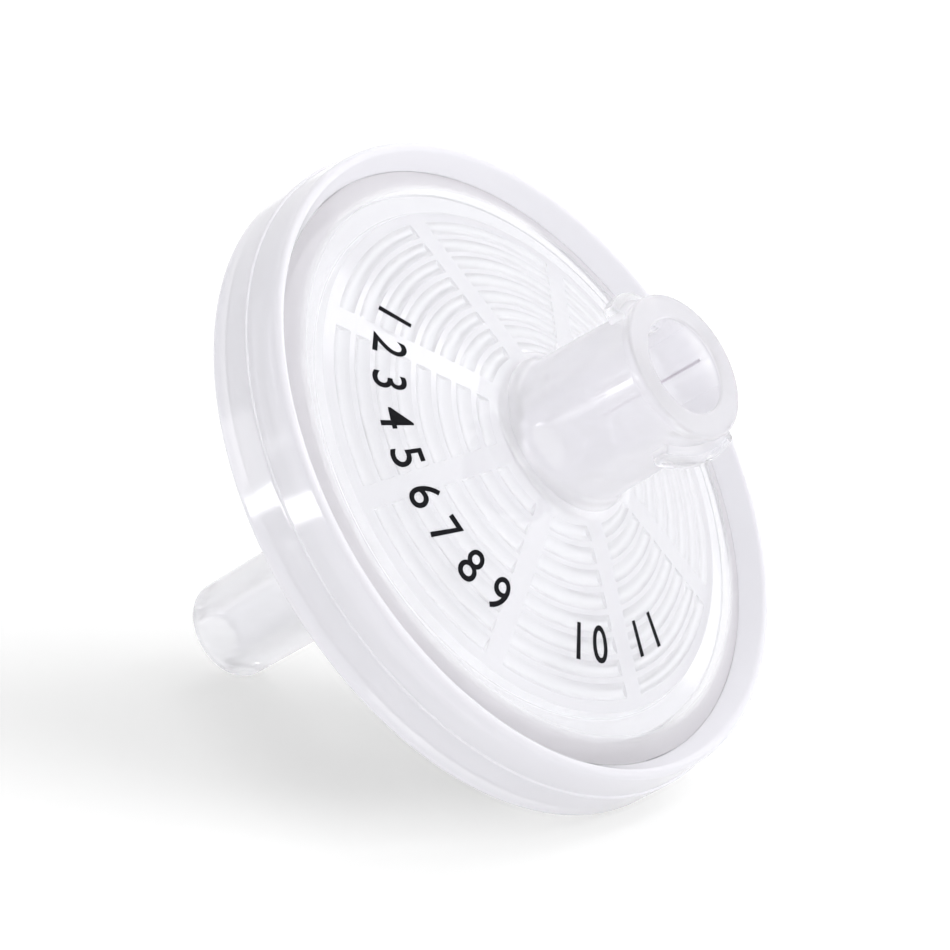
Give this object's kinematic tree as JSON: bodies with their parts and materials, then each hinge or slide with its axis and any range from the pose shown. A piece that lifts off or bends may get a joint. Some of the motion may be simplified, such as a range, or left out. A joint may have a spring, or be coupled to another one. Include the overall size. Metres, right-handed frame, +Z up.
{
  "type": "syringe filter",
  "caption": "Disc syringe filter with a flat band, a shallow cone face over ringed ridges, a female luer lock inlet and a male luer slip outlet, lying on its edge.",
  "frame": {"origin": "on the surface the filter lies on, below the middle of its bounding box", "axes": "+Z up; the filter's own axis lies in the XZ plane and rises towards +X at about 40 degrees, inlet uppermost; Y runs across the disc"},
  "size_m": [0.0254, 0.03, 0.0251],
  "materials": {
    "housing_plastic": "gloss",
    "band_plastic": "satin",
    "glass_fibre": "matte",
    "membrane": "matte",
    "printed_numbers": "matte"
  },
  "bodies": {
    "root": {"inlet_housing": "housing_plastic", "outlet_housing": "housing_plastic", "moulded_band": "band_plastic", "prefilter_disc": "glass_fibre", "membrane_disc": "membrane"}
  },
  "joints": []
}
